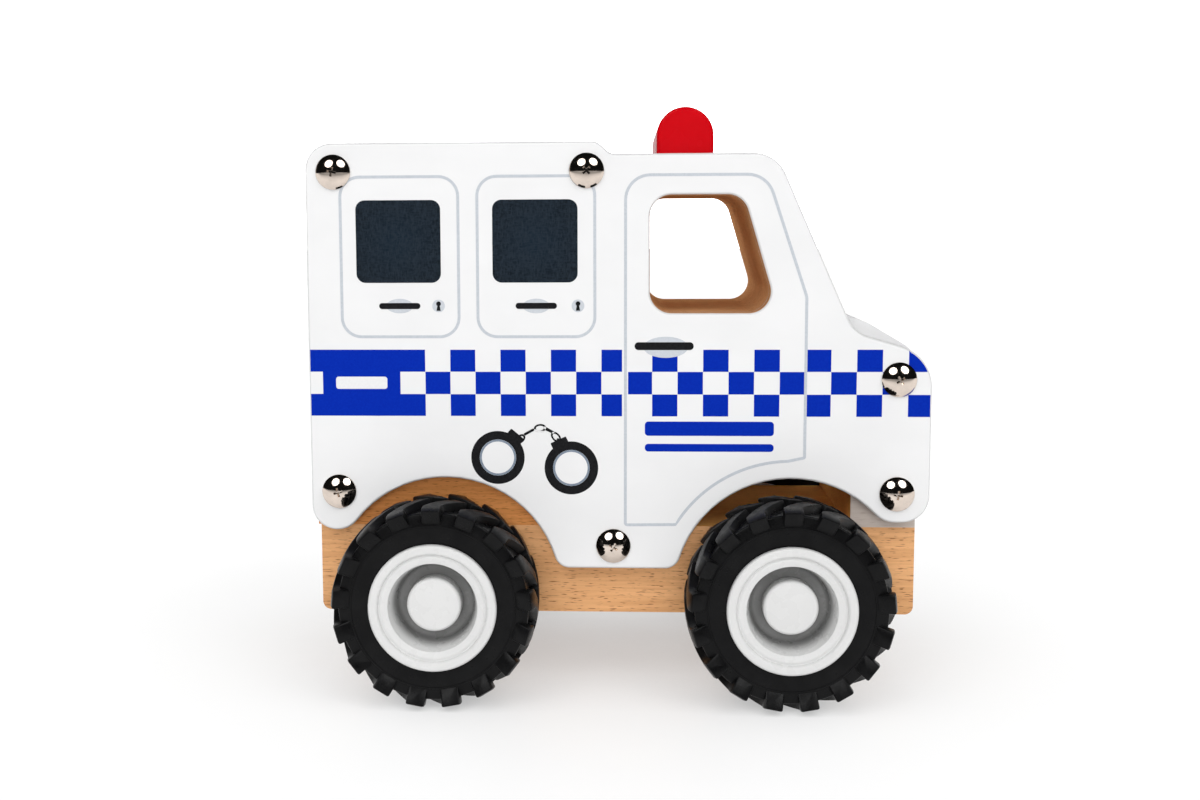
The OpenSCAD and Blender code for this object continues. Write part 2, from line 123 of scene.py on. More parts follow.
# a flat outline with rounded corners, from (x, z, radius) corners
def roundedLoop(corners, step=9):
    loop = []
    for i, (x, z, radius) in enumerate(corners):
        here = Vector((x, z))
        back = (Vector(corners[i - 1][:2]) - here).normalized()
        ahead = (Vector(corners[(i + 1) % len(corners)][:2]) - here).normalized()
        if radius <= 0:
            loop.append((x, z))
            continue
        half = back.angle(ahead) / 2
        centre = here + (back + ahead).normalized() * (radius / math.sin(half))
        first = here + back * (radius / math.tan(half)) - centre
        last = here + ahead * (radius / math.tan(half)) - centre
        turn = math.atan2(first.x * last.y - first.y * last.x, first.dot(last))
        steps = max(2, math.ceil(abs(math.degrees(turn)) / step))
        start = math.atan2(first.y, first.x)
        for k in range(steps + 1):
            angle = start + turn * k / steps
            loop.append((centre.x + radius * math.cos(angle), centre.y + radius * math.sin(angle)))
    return loop


def rectangleLoop(x0, x1, z0, z1, radius):
    return roundedLoop([(x0, z0, radius), (x1, z0, radius), (x1, z1, radius), (x0, z1, radius)])


def ovalLoop(x, z, halfX, halfZ, turn=0, count=40):
    loop = []
    for k in range(count):
        angle = 2 * math.pi * k / count
        loop.append((halfX * math.cos(angle), halfZ * math.sin(angle)))
    return turnedLoop(loop, x, z, turn)


# a loop drawn about (0, 0), turned and moved to x, z
def turnedLoop(loop, x, z, turn):
    c, s = math.cos(turn), math.sin(turn)
    return [(x + a * c - b * s, z + a * s + b * c) for a, b in loop]


def turnedBox(x, z, halfX, halfZ, turn, radius):
    return turnedLoop(rectangleLoop(-halfX, halfX, -halfZ, halfZ, radius), x, z, turn)


# the two edges of a line drawn along a closed loop
def lineLoops(loop, width):
    edges = []
    for side in (-0.5, 0.5):
        edge = []
        for i, point in enumerate(loop):
            here = Vector(point)
            run = Vector(loop[(i + 1) % len(loop)]) - Vector(loop[i - 1])
            across = Vector((-run.y, run.x)).normalized()
            edge.append(tuple(here + across * (side * width)))
        edges.append(edge)
    return edges


# finishes

def newFinish(name, colour, roughness, **sockets):
    finish = bpy.data.materials.new(name)
    finish.use_nodes = True
    shader = finish.node_tree.nodes["Principled BSDF"]
    shader.inputs["Base Color"].default_value = (*colour, 1)
    shader.inputs["Roughness"].default_value = roughness
    for socket, value in sockets.items():
        shader.inputs[socket.replace("_", " ")].default_value = value
    finish.diffuse_color = (*colour, 1)
    return finish


# adds a shader node: numbers are set on its sockets, other sockets are linked to them
def addNode(tree, kind, sockets, **settings):
    node = tree.nodes.new("ShaderNode" + kind)
    for setting, value in settings.items():
        setattr(node, setting, value)
    for socket, value in sockets.items():
        if isinstance(value, bpy.types.NodeSocket):
            tree.links.new(value, node.inputs[socket])
        else:
            node.inputs[socket].default_value = value
    return node


def mapRange(tree, value, lows, highs, **settings):
    sockets = {"Value": value, "From Min": lows[0], "From Max": highs[0],
               "To Min": lows[1], "To Max": highs[1]}
    return addNode(tree, "MapRange", sockets, **settings).outputs["Result"]


def multiply(tree, first, second):
    return addNode(tree, "Math", {0: first, 1: second}, operation="MULTIPLY").outputs[0]


def objectPlace(tree):
    return addNode(tree, "TexCoord", {}).outputs["Object"]


# a noise on the piece's own millimetres, mapped to low..high between the two noise levels
def noiseField(finish, size, low, high, fromLevel=0.35, toLevel=0.65, detail=3.0, shift=(0, 0, 0)):
    tree = finish.node_tree
    scale = [1 / (s * mm) for s in size]
    mapping = addNode(tree, "Mapping", {"Vector": objectPlace(tree), "Scale": scale, "Location": shift})
    noise = addNode(tree, "TexNoise",
                    {"Vector": mapping.outputs["Vector"], "Scale": 1.0, "Detail": detail})
    return mapRange(tree, noise.outputs["Fac"], (fromLevel, low), (toLevel, high))


def blendColours(finish, share, first, second):
    first, second = ((*c, 1) if isinstance(c, tuple) else c for c in (first, second))
    sockets = {"Factor": share, 6: first, 7: second}  # 6 and 7 are the mix node's two colours
    return addNode(finish.node_tree, "Mix", sockets, data_type="RGBA").outputs[2]


def useColour(finish, colour):
    shader = finish.node_tree.nodes["Principled BSDF"]
    finish.node_tree.links.new(colour, shader.inputs["Base Color"])


def useRoughness(finish, field):
    shader = finish.node_tree.nodes["Principled BSDF"]
    finish.node_tree.links.new(field, shader.inputs["Roughness"])


def useBump(finish, field, depth, strength):
    tree = finish.node_tree
    bump = addNode(tree, "Bump", {"Height": field, "Strength": strength, "Distance": depth * mm})
    tree.links.new(bump.outputs["Normal"], tree.nodes["Principled BSDF"].inputs["Normal"])


# what already drives a finish's colour
def colourOf(finish):
    return finish.node_tree.nodes["Principled BSDF"].inputs["Base Color"].links[0].from_socket


# 0 at the low and 1 at the high distance from the van's middle along an axis, in mm
def axisField(finish, axis, low, high):
    tree = finish.node_tree
    split = addNode(tree, "SeparateXYZ", {"Vector": objectPlace(tree)})
    distance = addNode(tree, "Math", {0: split.outputs[axis]}, operation="ABSOLUTE").outputs[0]
    return mapRange(tree, distance, (low * mm, 0), (high * mm, 1), interpolation_type="SMOOTHSTEP")


# satin lacquer over wood: faint cloudiness, brush ripple along the grain
def makeWhitePaint(name, white):
    finish = newFinish(name, (white, white, white), 0.36, Specular_IOR_Level=0.35)
    cloud = noiseField(finish, (24, 24, 16), 0.0, 1.0)
    shades = [(white * k, white * k, white * k * 1.004) for k in (0.982, 1.018)]
    useColour(finish, blendColours(finish, cloud, *shades))
    useRoughness(finish, noiseField(finish, (9, 9, 3), 0.30, 0.42))
    useBump(finish, noiseField(finish, (5, 1.2, 1.2), 0, 1, 0.3, 0.7), 0.02, 0.35)
    return finish


# bare beech: broad bands, fine streaks along X and the short dark flecks of the wood
def makeBeech(name, pale, dark, fleck, fleckShare, shine=0.15):
    finish = newFinish(name, pale, 0.55, Specular_IOR_Level=shine)
    bands = noiseField(finish, (90, 9, 7), 0.0, 1.0, 0.3, 0.7)
    streaks = noiseField(finish, (16, 0.7, 0.6), 0.0, 1.0, 0.3, 0.7, 4.0, (3, 1, 2))
    flecks = noiseField(finish, (2.6, 0.34, 0.30), 0.0, fleckShare, 0.60, 0.70, 1.0, (7, 5, 1))
    middling = tuple(p * 0.72 + d * 0.28 for p, d in zip(pale, dark))
    banded = blendColours(finish, bands, pale, middling)
    streaked = blendColours(finish, multiply(finish.node_tree, streaks, 0.42), banded, dark)
    useColour(finish, blendColours(finish, flecks, streaked, fleck))
    useRoughness(finish, noiseField(finish, (14, 0.8, 0.8), 0.48, 0.64))
    useBump(finish, streaks, 0.05, 0.5)
    return finish


def makeInk(name, colour, paler, roughness, grainSize):
    finish = newFinish(name, colour, roughness, Specular_IOR_Level=0.05)
    grain = noiseField(finish, grainSize, 0.0, 1.0, 0.35, 0.75, 2.0)
    useColour(finish, blendColours(finish, grain, colour, paler))
    useRoughness(finish, noiseField(finish, (4, 4, 4), roughness - 0.05, roughness + 0.06))
    return finish


# the print on the rear panes is bluer near their middles
paneTint = {"between": (-38.55, 117.35), "apart": 17.55, "full": 2.0, "none": 14.0}


# 1 in the middle of each rear pane, falling to 0 past its edges
def paneField(finish):
    tree = finish.node_tree
    x, z = paneTint["between"]
    place = objectPlace(tree)
    steps = [
        ("SUBTRACT", (x * mm, 0, z * mm)), ("ABSOLUTE", (0, 0, 0)),
        ("SUBTRACT", (paneTint["apart"] * mm, 0, 0)), ("MULTIPLY", (1 / mm, 0, 1 / mm)),
    ]
    for operation, amount in steps:
        step = addNode(tree, "VectorMath", {0: place, 1: amount}, operation=operation)
        place = step.outputs["Vector"]
    distance = addNode(tree, "VectorMath", {0: place}, operation="LENGTH").outputs["Value"]
    return mapRange(tree, distance, (paneTint["full"], 1), (paneTint["none"], 0))


# printed glass: dark slate, bluer in the middle, under a fine crosswise print screen
def makeWindowInk():
    finish = newFinish("windowInk", (0.018, 0.026, 0.038), 0.40, Specular_IOR_Level=0.1)
    across = noiseField(finish, (0.34, 3, 1.1), 0.0, 0.9, 0.38, 0.72, 2.0)
    along = noiseField(finish, (1.1, 3, 0.34), 0.0, 0.9, 0.38, 0.72, 2.0, (2, 4, 6))
    base = blendColours(finish, paneField(finish), (0.0045, 0.007, 0.010), (0.006, 0.0145, 0.0255))
    threadA = blendColours(finish, across, base, (0.018, 0.027, 0.038))
    useColour(finish, blendColours(finish, along, threadA, (0.015, 0.024, 0.036)))
    useRoughness(finish, noiseField(finish, (4, 4, 4), 0.34, 0.46))
    return finish


def makeRubber():
    finish = newFinish("tyreRubber", (0.004, 0.004, 0.0043), 0.34, Specular_IOR_Level=0.13)
    dust = noiseField(finish, (5, 5, 5), 0.0, 1.0)
    clean, dusty = (0.0032, 0.0032, 0.0035), (0.0055, 0.0055, 0.0058)
    useColour(finish, blendColours(finish, dust, clean, dusty))
    useRoughness(finish, noiseField(finish, (3, 3, 3), 0.26, 0.42))
    useBump(finish, noiseField(finish, (0.35, 0.35, 0.35), 0, 1, 0.3, 0.7), 0.03, 0.35)
    return finish


def makeHubPlastic(name, grey):
    finish = newFinish(name, (grey, grey, grey * 0.993), 0.28, Specular_IOR_Level=0.35)
    cloud = noiseField(finish, (14, 14, 14), 0.0, 1.0)
    shades = [(grey * k, grey * k, grey * k * 0.993) for k in (0.985, 1.02)]
    useColour(finish, blendColours(finish, cloud, *shades))
    useRoughness(finish, noiseField(finish, (4, 4, 4), 0.24, 0.34))
    useBump(finish, noiseField(finish, (1.6, 1.6, 1.6), 0, 1, 0.3, 0.7), 0.008, 0.3)
    return finish


# the bonnet's sides: bare wood darkened as painted shade under the panel on its lower part, fading to a
# dimmed white paint above, between two heights
bonnetShade = {"paintFrom": 60, "paintTo": 76, "paint": (0.73, 0.73, 0.733)}


def makeShadedBonnetWood():
    finish = makeBeech("shadedBonnetWood", (0.62, 0.55, 0.50), (0.46, 0.38, 0.33), (0.34, 0.26, 0.22),
                       0.4, 0.1)
    height = axisField(finish, "Z", bonnetShade["paintFrom"], bonnetShade["paintTo"])
    useColour(finish, blendColours(finish, height, colourOf(finish), bonnetShade["paint"]))
    return finish


# painted shade: the dish of a hub greys towards its floor, between two distances from the van's middle
dishShade = {"floorY": 46.8, "lipY": 51.8, "grey": (0.21, 0.21, 0.207)}


def makeShadedDishPlastic():
    finish = makeHubPlastic("shadedDishPlastic", 0.69)
    rise = axisField(finish, "Y", dishShade["floorY"], dishShade["lipY"])
    useColour(finish, blendColours(finish, rise, dishShade["grey"], colourOf(finish)))
    return finish


def makeMetal(name, colour, low, high, scratch):
    finish = newFinish(name, colour, (low + high) / 2, Metallic=1.0)
    tarnish = noiseField(finish, (2.4, 2.4, 2.4), 0.0, 1.0)
    useColour(finish, blendColours(finish, tarnish, colour, tuple(c * 0.9 for c in colour)))
    useRoughness(finish, noiseField(finish, scratch, low, high, 0.4, 0.7, 4.0))
    return finish


def makeRedGloss():
    finish = newFinish("redGloss", (0.58, 0.0, 0.006), 0.24, Specular_IOR_Level=0.08)
    cloud = noiseField(finish, (16, 30, 16), 0.0, 1.0)
    useColour(finish, blendColours(finish, cloud, (0.56, 0.0, 0.004), (0.60, 0.0005, 0.006)))
    useRoughness(finish, noiseField(finish, (12, 20, 12), 0.20, 0.28))
    useBump(finish, noiseField(finish, (1.5, 10, 1.5), 0, 1, 0.3, 0.7), 0.008, 0.2)
    return finish


whitePaint = makeWhitePaint("whitePaint", 0.82)
# a darker white standing for painted shade on rounded edges, the cab's sides and the bonnet's top
paintedShadeWhite = makeWhitePaint("paintedShadeWhite", 0.72)
beech = makeBeech("beech", (0.86, 0.475, 0.225), (0.48, 0.205, 0.07), (0.22, 0.08, 0.027), 0.85)
# raw beech of the inner faces, made brighter and redder as painted light bounced inside the body
bounceLitBeech = makeBeech("bounceLitBeech", (0.95, 0.50, 0.16), (0.70, 0.31, 0.08), (0.40, 0.16, 0.04),
                       0.5, 0.0)
# a darker, redder beech for the rear block's sides: painted shade of the wood under the panels' arches
shadedArchBeech = makeBeech("shadedArchBeech", (0.80, 0.34, 0.11), (0.42, 0.14, 0.035), (0.20, 0.06, 0.015),
                      0.7, 0.05)
shadedBonnetWood = makeShadedBonnetWood()
cutBeech = makeBeech("cutBeech", (0.72, 0.41, 0.20), (0.34, 0.15, 0.055), (0.20, 0.08, 0.028),
                     0.6, 0.0)
dowelWood = makeBeech("dowelWood", (0.66, 0.43, 0.25), (0.45, 0.26, 0.13), (0.28, 0.15, 0.07), 0.4)
blueInk = makeInk("blueInk", (0.0003, 0.021, 0.37), (0.001, 0.026, 0.41), 0.38, (0.5, 0.5, 0.5))
blackInk = makeInk("blackInk", (0.0085, 0.0085, 0.0095), (0.016, 0.016, 0.018), 0.40, (0.4, 0.4, 0.4))
greyInk = makeInk("greyInk", (0.545, 0.575, 0.62), (0.60, 0.63, 0.67), 0.40, (0.4, 0.4, 0.4))
lineInk = makeInk("lineInk", (0.51, 0.54, 0.585), (0.57, 0.60, 0.645), 0.40, (0.5, 0.5, 0.5))
steelInk = makeInk("steelInk", (0.19, 0.235, 0.30), (0.27, 0.315, 0.38), 0.40, (0.6, 0.6, 0.6))
whiteInk = makeInk("whiteInk", (0.78, 0.78, 0.79), (0.82, 0.82, 0.825), 0.38, (0.6, 0.6, 0.6))
windowInk = makeWindowInk()
tyreRubber = makeRubber()
hubPlastic = makeHubPlastic("hubPlastic", 0.69)
shadedDishPlastic = makeShadedDishPlastic()
screwChrome = makeMetal("screwChrome", (0.76, 0.66, 0.58), 0.05, 0.12, (0.5, 0.5, 0.5))
axleSteel = makeMetal("axleSteel", (0.60, 0.60, 0.61), 0.26, 0.40, (0.3, 6, 0.3))
redGloss = makeRedGloss()
print("finishes made")


# weighs the sharp edges for a bevel: weightOf gives each one its share of the width
def weighEdges(mesh, sharp, weightOf):
    facing = {}
    for face in mesh.polygons:
        for key in face.edge_keys:
            facing.setdefault(key, []).append(face.normal.copy())
    weights = mesh.attributes.new("bevel_weight_edge", "FLOAT", "EDGE")
    for edge in mesh.edges:
        normals = facing.get(tuple(sorted(edge.vertices)), [])
        if len(normals) == 2 and normals[0].angle(normals[1], 0) > math.radians(sharp):
            a, b = (mesh.vertices[i].co for i in edge.vertices)
            weights.data[edge.index].value = weightOf((a + b) / 2 / mm, normals)


# a copy of a CAD solid with its edges softened
def softCopy(nodeName, pieceName, width, weightOf, segments):
    piece = bpy.data.objects.new(pieceName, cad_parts[nodeName].data.copy())
    piece.data.name = pieceName
    piece.data.materials.clear()
    bpy.context.scene.collection.objects.link(piece)
    intoEdit(piece, "VERT", everything=True)
    bpy.ops.mesh.customdata_custom_splitnormals_clear()
    bpy.ops.mesh.remove_doubles(threshold=2 * micron)
    bpy.ops.mesh.dissolve_limited(angle_limit=math.radians(0.6))
    outOfEdit()
    weighEdges(piece.data, 30, weightOf)
    smooth(piece, 30)
    applyModifier(piece, "BEVEL", limit_method="WEIGHT", width=width * mm, segments=segments,
                  harden_normals=True, use_clamp_overlap=True)
    return piece


def finishFaces(piece, finishes, chooser):
    piece.data.materials.clear()
    for finish in finishes:
        piece.data.materials.append(finish)
    for face in piece.data.polygons:
        face.material_index = chooser(face.center / mm, face.normal)


def nearAny(place, points, reach):
    return any((place.x - x) ** 2 + (place.z - z) ** 2 < reach ** 2 for x, z in points)


# wooden body: side panels, blocks, chassis board and beacon
panelShape = {
    "faceY": 34.6, "thick": 5.0, "softOuter": 1.0, "softInner": 0.35,
    "screws": [(-72.6, 135.1), (-7.8, 135.1), (-72.6, 52.4), (-1.0, 38.4), (71.6, 81.9), (71.6, 52.4)],
    "screwReach": 4.5, "windowMiddle": (26.0, 113.9), "windowReach": 24.0,
}


def makePanel(sideName):
    shape = panelShape
    windowX, windowZ = shape["windowMiddle"]

    def weightOf(place, normals):
        if nearAny(place, shape["screws"], shape["screwReach"]):
            return 0.0
        outer = abs(abs(place.y) - shape["faceY"]) < 0.05
        inner = abs(abs(place.y) - shape["faceY"] + shape["thick"]) < 0.05
        return 1.0 if outer else shape["softInner"] / shape["softOuter"] if inner else 0.0

    # the window is sawn through to bare wood; other edges are painted a darker white, painted shade on
    # the rounded edges
    def chooser(place, normal):
        away = math.hypot(place.x - windowX, place.z - windowZ)
        if abs(normal.y) < 0.35 and away < shape["windowReach"]:
            return 1
        return 2 if abs(normal.y) < 0.96 else 0

    panel = softCopy(sideName + "_side_panel", sideName + "SidePanel", shape["softOuter"], weightOf, 4)
    finishFaces(panel, [whitePaint, cutBeech, paintedShadeWhite], chooser)
    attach(panel, "body")
    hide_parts(sideName + "_side_panel")


blockShape = {
    "soft": 0.5, "deckZ": 42.6, "deckSoft": 0.4,
    "noseJoint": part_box("bonnet_block")[0][0] / mm, "flushAbove": 84,  # painted over, so no groove
    "rearJoint": 1, "roofZ": 133, "screenX": 44.5,
}


# finishes are the paint, the raw wood and the sides, whose finish is a painted shade; faces that lean
# past sideFrom count as sides
def makeBlock(nodeName, pieceName, finishes, sideFrom, painted):
    shape = blockShape

    def weightOf(place, normals):
        if abs(place.x - shape["noseJoint"]) < 0.1 and place.z > shape["flushAbove"]:
            return 0.0
        return 1.0 if abs(place.z - shape["deckZ"]) > 0.1 else shape["deckSoft"]

    def chooser(place, normal):
        if abs(normal.y) > sideFrom:
            return 2
        return 0 if painted(place, normal) else 1

    block = softCopy(nodeName, pieceName, shape["soft"], weightOf, 3)
    finishFaces(block, finishes, chooser)
    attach(block, "body")
    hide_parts(nodeName)


def rearPainted(place, normal):
    return normal.z > -0.7 and not (normal.x > 0.7 and place.x > blockShape["rearJoint"])


def cabPainted(place, normal):
    outside = place.z > blockShape["roofZ"] or place.x > blockShape["screenX"]
    return outside and (normal.z > 0.5 or normal.x > 0.3)


def bonnetPainted(place, normal):
    return normal.z > -0.7 and normal.x > -0.7


makePanel("right")
makePanel("left")
# the raw wood of the rear and bonnet blocks is beech brightened as painted light
makeBlock("rear_block", "rearBlock", [whitePaint, bounceLitBeech, shadedArchBeech], 0.7, rearPainted)
# the cab's sides and the bonnet's paint are the darker white of painted shade
makeBlock("cab_block", "cabBlock", [whitePaint, cutBeech, paintedShadeWhite], 0.2, cabPainted)
makeBlock("bonnet_block", "bonnetBlock", [paintedShadeWhite, bounceLitBeech, shadedBonnetWood], 0.2, bonnetPainted)
print("panels and blocks softened")

chassisShape = {
    "soft": 0.9, "uprightSoft": 0.6,
    "axles": [(43.3, 26.3), (-46.1, 26.3)], "axleReach": 4.0, "sideY": 29,
    "topZ": 42.5, "blindX": 74, "blindY": 28,  # edges within these lie under the blocks
}


def makeChassis():
    shape = chassisShape

    def weightOf(place, normals):
        axleHole = nearAny(place, shape["axles"], shape["axleReach"]) and abs(place.y) > shape["sideY"]
        upright = max(abs(n.z) for n in normals) < 0.5
        inside = abs(place.y) < shape["blindY"] and abs(place.x) < shape["blindX"]
        if axleHole or inside and place.z > shape["topZ"]:
            return 0.0
        return shape["uprightSoft"] if upright else 1.0

    chassis = softCopy("chassis_board", "chassisBoard", shape["soft"], weightOf, 4)
    # the board's top takes the beech brightened as painted light
    finishFaces(chassis, [beech, bounceLitBeech], lambda place, normal: 1 if normal.z > 0.9 else 0)
    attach(chassis, "body")
    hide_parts("chassis_board")


beaconShape = {"soft": 0.8, "endY": 28.5, "footZ": 139}


def makeBeacon():
    def weightOf(place, normals):
        return 1.0 if abs(place.y) > beaconShape["endY"] and place.z > beaconShape["footZ"] else 0.0

    beacon = softCopy("beacon", "beaconBar", beaconShape["soft"], weightOf, 4)
    dress(beacon, redGloss)
    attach(beacon, "body")
    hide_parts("beacon")


makeChassis()
makeBeacon()
print("chassis and beacon softened")


# prints: thin films of ink cut from flat outlines, laid on both panels
def layInk(name, loops, bottom, top, finish):
    outline = bpy.data.curves.new(name, "CURVE")
    outline.dimensions = "2D"
    outline.fill_mode = "BOTH"
    outline.extrude = (top - bottom) / 2
    for loop in loops:
        spline = outline.splines.new("POLY")
        spline.points.add(len(loop) - 1)
        for point, (x, z) in zip(spline.points, loop):
            point.co = (x, z, 0, 1)
        spline.use_cyclic_u = True
    film = bpy.data.objects.new(name + "Right", outline)
    bpy.context.scene.collection.objects.link(film)
    onlySelect(film)
    bpy.ops.object.convert(target="MESH")
    film = bpy.context.object
    film.data.name = film.name
    film.rotation_euler = (math.pi / 2, 0, 0)
    film.scale = (mm, mm, mm)
    film.location = (0, -(panelShape["faceY"] + (bottom + top) / 2) * mm, 0)
    applyPlace(film)
    mergeAndTurnOut(film, 0.5 * micron)
    dress(film, finish)
    other = ownCopy(film, name + "Left")
    other.scale = (1, -1, 1)
    applyPlace(other)
    mergeAndTurnOut(other, 0.5 * micron)
    for piece in (film, other):
        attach(piece, "body")


# bottom and top of a film over the panel's face
filmLow, filmMid, filmTop = (-0.02, 0.03), (-0.02, 0.05), (-0.02, 0.07)

bandPrint = {
    "rows": [72.33, 78.02, 83.85, 89.56],
    "rear": -79.55, "front": 79.55,
    "checksFrom": -49.56, "pitch": 6.499, "checks": 20,
    "middleBlock": (-76.33, -56.09),
    "doorGap": (1.25, 2.75), "shutGap": (47.75, 48.3),
    "plate": (-72.9, -59.5, 79.35, 82.55), "plateCorner": 0.7,
    "slope": (60.1, 93.9, 16.6), "noseMiddle": (69.0, 79.77), "noseRadius": 10.55, "edge": 0.45,
    "trim": 0.02, "leastWide": 0.3, "leastHigh": 0.2, "leastTip": 0.05, "curveSteps": 12,
}


# how high the print may reach at x along the bonnet
def bandCeiling(x):
    footX, footZ, degrees = bandPrint["slope"]
    lean = math.radians(degrees)
    return footZ - (x - footX) * math.tan(lean) - bandPrint["edge"] / math.cos(lean)


# and round the nose, in front of its middle
def noseTop(x):
    middleX, middleZ = bandPrint["noseMiddle"]
    along = x - middleX
    if along <= 0:
        return math.inf
    return middleZ + math.sqrt(max(bandPrint["noseRadius"] ** 2 - along ** 2, 0.0))


def bandCells():
    p = bandPrint
    low, midLow, midHigh, high = p["rows"]
    cells = []
    for k in range(p["checks"]):
        x0 = p["checksFrom"] + k * p["pitch"]
        x1 = min(x0 + p["pitch"], p["front"])
        if k % 2 == 0:
            cells.append((x0, x1, midLow, midHigh))
        else:
            cells.append((x0, x1, low, midLow))
            cells.append((x0, x1, midHigh, high))
    return cells


# the plain block at the rear end, waisted between two white cells
def rearBlockLoop():
    p = bandPrint
    low, midLow, midHigh, high = p["rows"]
    rear, front = p["rear"], p["checksFrom"] - p["trim"]
    waistRear, waistFront = p["middleBlock"]
    return [
        (rear, low), (front, low), (front, midLow), (waistFront, midLow), (waistFront, midHigh),
        (front, midHigh), (front, high), (rear, high), (rear, midHigh), (waistRear, midHigh),
        (waistRear, midLow), (rear, midLow),
    ]


# a cell less the gaps at the cab door's edges
def cutCell(x0, x1):
    pieces = [(x0, x1)]
    for gap0, gap1 in (bandPrint["doorGap"], bandPrint["shutGap"]):
        cut = []
        for a, b in pieces:
            if b <= gap0 or a >= gap1:
                cut.append((a, b))
            else:
                cut += [s for s in ((a, gap0), (gap1, b)) if s[1] - s[0] > bandPrint["leastWide"]]
        pieces = cut
    return pieces


# a cell under the curve of the bonnet and nose, from a to b and from c up to d
def curvedCell(a, b, c, d):
    p = bandPrint
    steps = [a + (b - a) * k / p["curveSteps"] for k in range(1, p["curveSteps"])]
    ends = [(a, min(d, bandCeiling(a)))]
    ends += [(x, min(d, bandCeiling(x), noseTop(x))) for x in steps + [b]]
    if ends[-1][1] > c + p["leastHigh"]:
        return [(a, c), (b, c)] + ends[::-1]
    ends = [e for e in ends if e[1] > c + p["leastTip"]]
    return [(a, c), (ends[-1][0], c)] + ends[::-1]


def bandLoops():
    trim = bandPrint["trim"]
    loops = [rearBlockLoop()]
    for x0, x1, z0, z1 in bandCells():
        for a, b in cutCell(x0, x1):
            a, b, c, d = a + trim, b - trim, z0 + trim, z1 - trim
            if d > bandCeiling(b):
                loops.append(curvedCell(a, b, c, d))
            else:
                loops.append([(a, c), (b, c), (b, d), (a, d)])
    return loops


layInk("checkBand", bandLoops(), *filmLow, blueInk)
layInk("bandPlate", [rectangleLoop(*bandPrint["plate"], bandPrint["plateCorner"])], *filmMid, whiteInk)

doorPrint = {
    "line": 0.74,
    "rear": [(-70.95, -40.64, 92.9, 133.8), (-35.75, -5.72, 92.9, 133.8)], "rearCorner": 5.0,
    "cab": [(2.1, 133.9, 6.2), (37.67, 133.9, 6.9), (48.0, 103.0, 4.0), (48.0, 61.7, 0.3)],
    "arch": (44.7, 26.3, 34.5, 91.5, 149.0), "archSteps": 20, "cabFoot": (2.1, 43.9, 0.6),
}


def cabDoorLoop():
    x, z, radius, first, last = doorPrint["arch"]
    corners = list(doorPrint["cab"])
    steps = doorPrint["archSteps"]
    for k in range(steps + 1):
        angle = math.radians(first + (last - first) * k / steps)
        corners.append((x + radius * math.cos(angle), z + radius * math.sin(angle), 0))
    corners.append(doorPrint["cabFoot"])
    return roundedLoop(corners)


doorLoops = lineLoops(cabDoorLoop(), doorPrint["line"])
for door in doorPrint["rear"]:
    doorLoops += lineLoops(rectangleLoop(*door, doorPrint["rearCorner"]), doorPrint["line"])
layInk("doorLines", doorLoops, *filmMid, lineInk)

glassPrint = {
    "panes": [(-67.02, -45.19, 106.8, 127.9), (-31.89, -10.10, 106.8, 127.9)], "corner": 2.4,
}
paneLoops = [rectangleLoop(*pane, glassPrint["corner"]) for pane in glassPrint["panes"]]
layInk("rearGlass", paneLoops, *filmLow, windowInk)

handlePrint = {
    "cups": [(-55.94, 100.84, 3.5, 1.87), (-20.73, 100.80, 3.5, 1.87), (12.4, 90.17, 5.7, 2.72)],
    "grips": [(-61.27, -50.62, 100.06, 101.61), (-26.03, -15.44, 100.06, 101.61),
              (4.43, 19.5, 89.46, 91.46)], "gripTrim": 0.02,
    "locks": [(-45.9, 100.85), (-10.04, 100.82)], "lockRadius": 1.63,
    "keyHead": 0.62, "keyRise": 0.55, "keyFoot": 0.55, "keyDrop": 1.25,
}


def keyholeLoop(x, z):
    p = handlePrint
    loop = []
    for degrees in range(-60, 241, 20):
        angle = math.radians(degrees)
        loop.append((x + p["keyHead"] * math.cos(angle),
                     z + p["keyRise"] + p["keyHead"] * math.sin(angle)))
    return loop + [(x - p["keyFoot"], z - p["keyDrop"]), (x + p["keyFoot"], z - p["keyDrop"])]


cupLoops = [ovalLoop(*cup) for cup in handlePrint["cups"]]
gripLoops = []
for x0, x1, z0, z1 in handlePrint["grips"]:
    gripLoops.append(rectangleLoop(x0, x1, z0, z1, (z1 - z0) / 2 - handlePrint["gripTrim"]))
for x, z in handlePrint["locks"]:
    cupLoops.append(ovalLoop(x, z, handlePrint["lockRadius"], handlePrint["lockRadius"]))
    gripLoops.append(keyholeLoop(x, z))
layInk("handleCups", cupLoops, *filmMid, greyInk)
layInk("handleGrips", gripLoops, *filmTop, blackInk)

# a plain pair of cuffs: two rings, a cheek block on each and a short chain
cuffPrint = {
    "rings": [(-30.92, 61.47, 50), (-11.86, 58.81, 115)], "ringSteps": 64,
    "outer": 6.95, "inner": 4.75, "rim": 4.2, "gap": 0.02,
    "block": (4.4, 3.0), "blockIn": 0.35, "blockCorner": 0.3,
    "chain": [(-25.16, 66.32), (-22.81, 68.16), (-19.95, 69.22), (-17.62, 68.7), (-15.82, 66.88),
              (-14.6, 65.3)],
    "link": (1.6, 1.05, 0.55), "linkSteps": 28, "linkInner": 0.8, "bar": (0.95, 0.33, 0.3),
}


def cuffRing(x, z, radius):
    return ovalLoop(x, z, radius, radius, 0, cuffPrint["ringSteps"])


# links of the chain lie flat and on edge by turns
def chainLoops():
    p = cuffPrint
    chain = p["chain"]
    long, short, thick = p["link"]
    share, barHigh, barCorner = p["bar"]
    loops = []
    for i, (x, z) in enumerate(chain):
        ahead, behind = chain[min(i + 1, len(chain) - 1)], chain[max(i - 1, 0)]
        turn = math.atan2(ahead[1] - behind[1], ahead[0] - behind[0])
        if i % 2 == 0:
            innerLong, innerShort = long - thick, short - thick * p["linkInner"]
            loops.append(ovalLoop(x, z, long, short, turn, p["linkSteps"]))
            loops.append(ovalLoop(x, z, innerLong, innerShort, turn, p["linkSteps"]))
        else:
            loops.append(turnedBox(x, z, long * share, barHigh, turn, barCorner))
    return loops


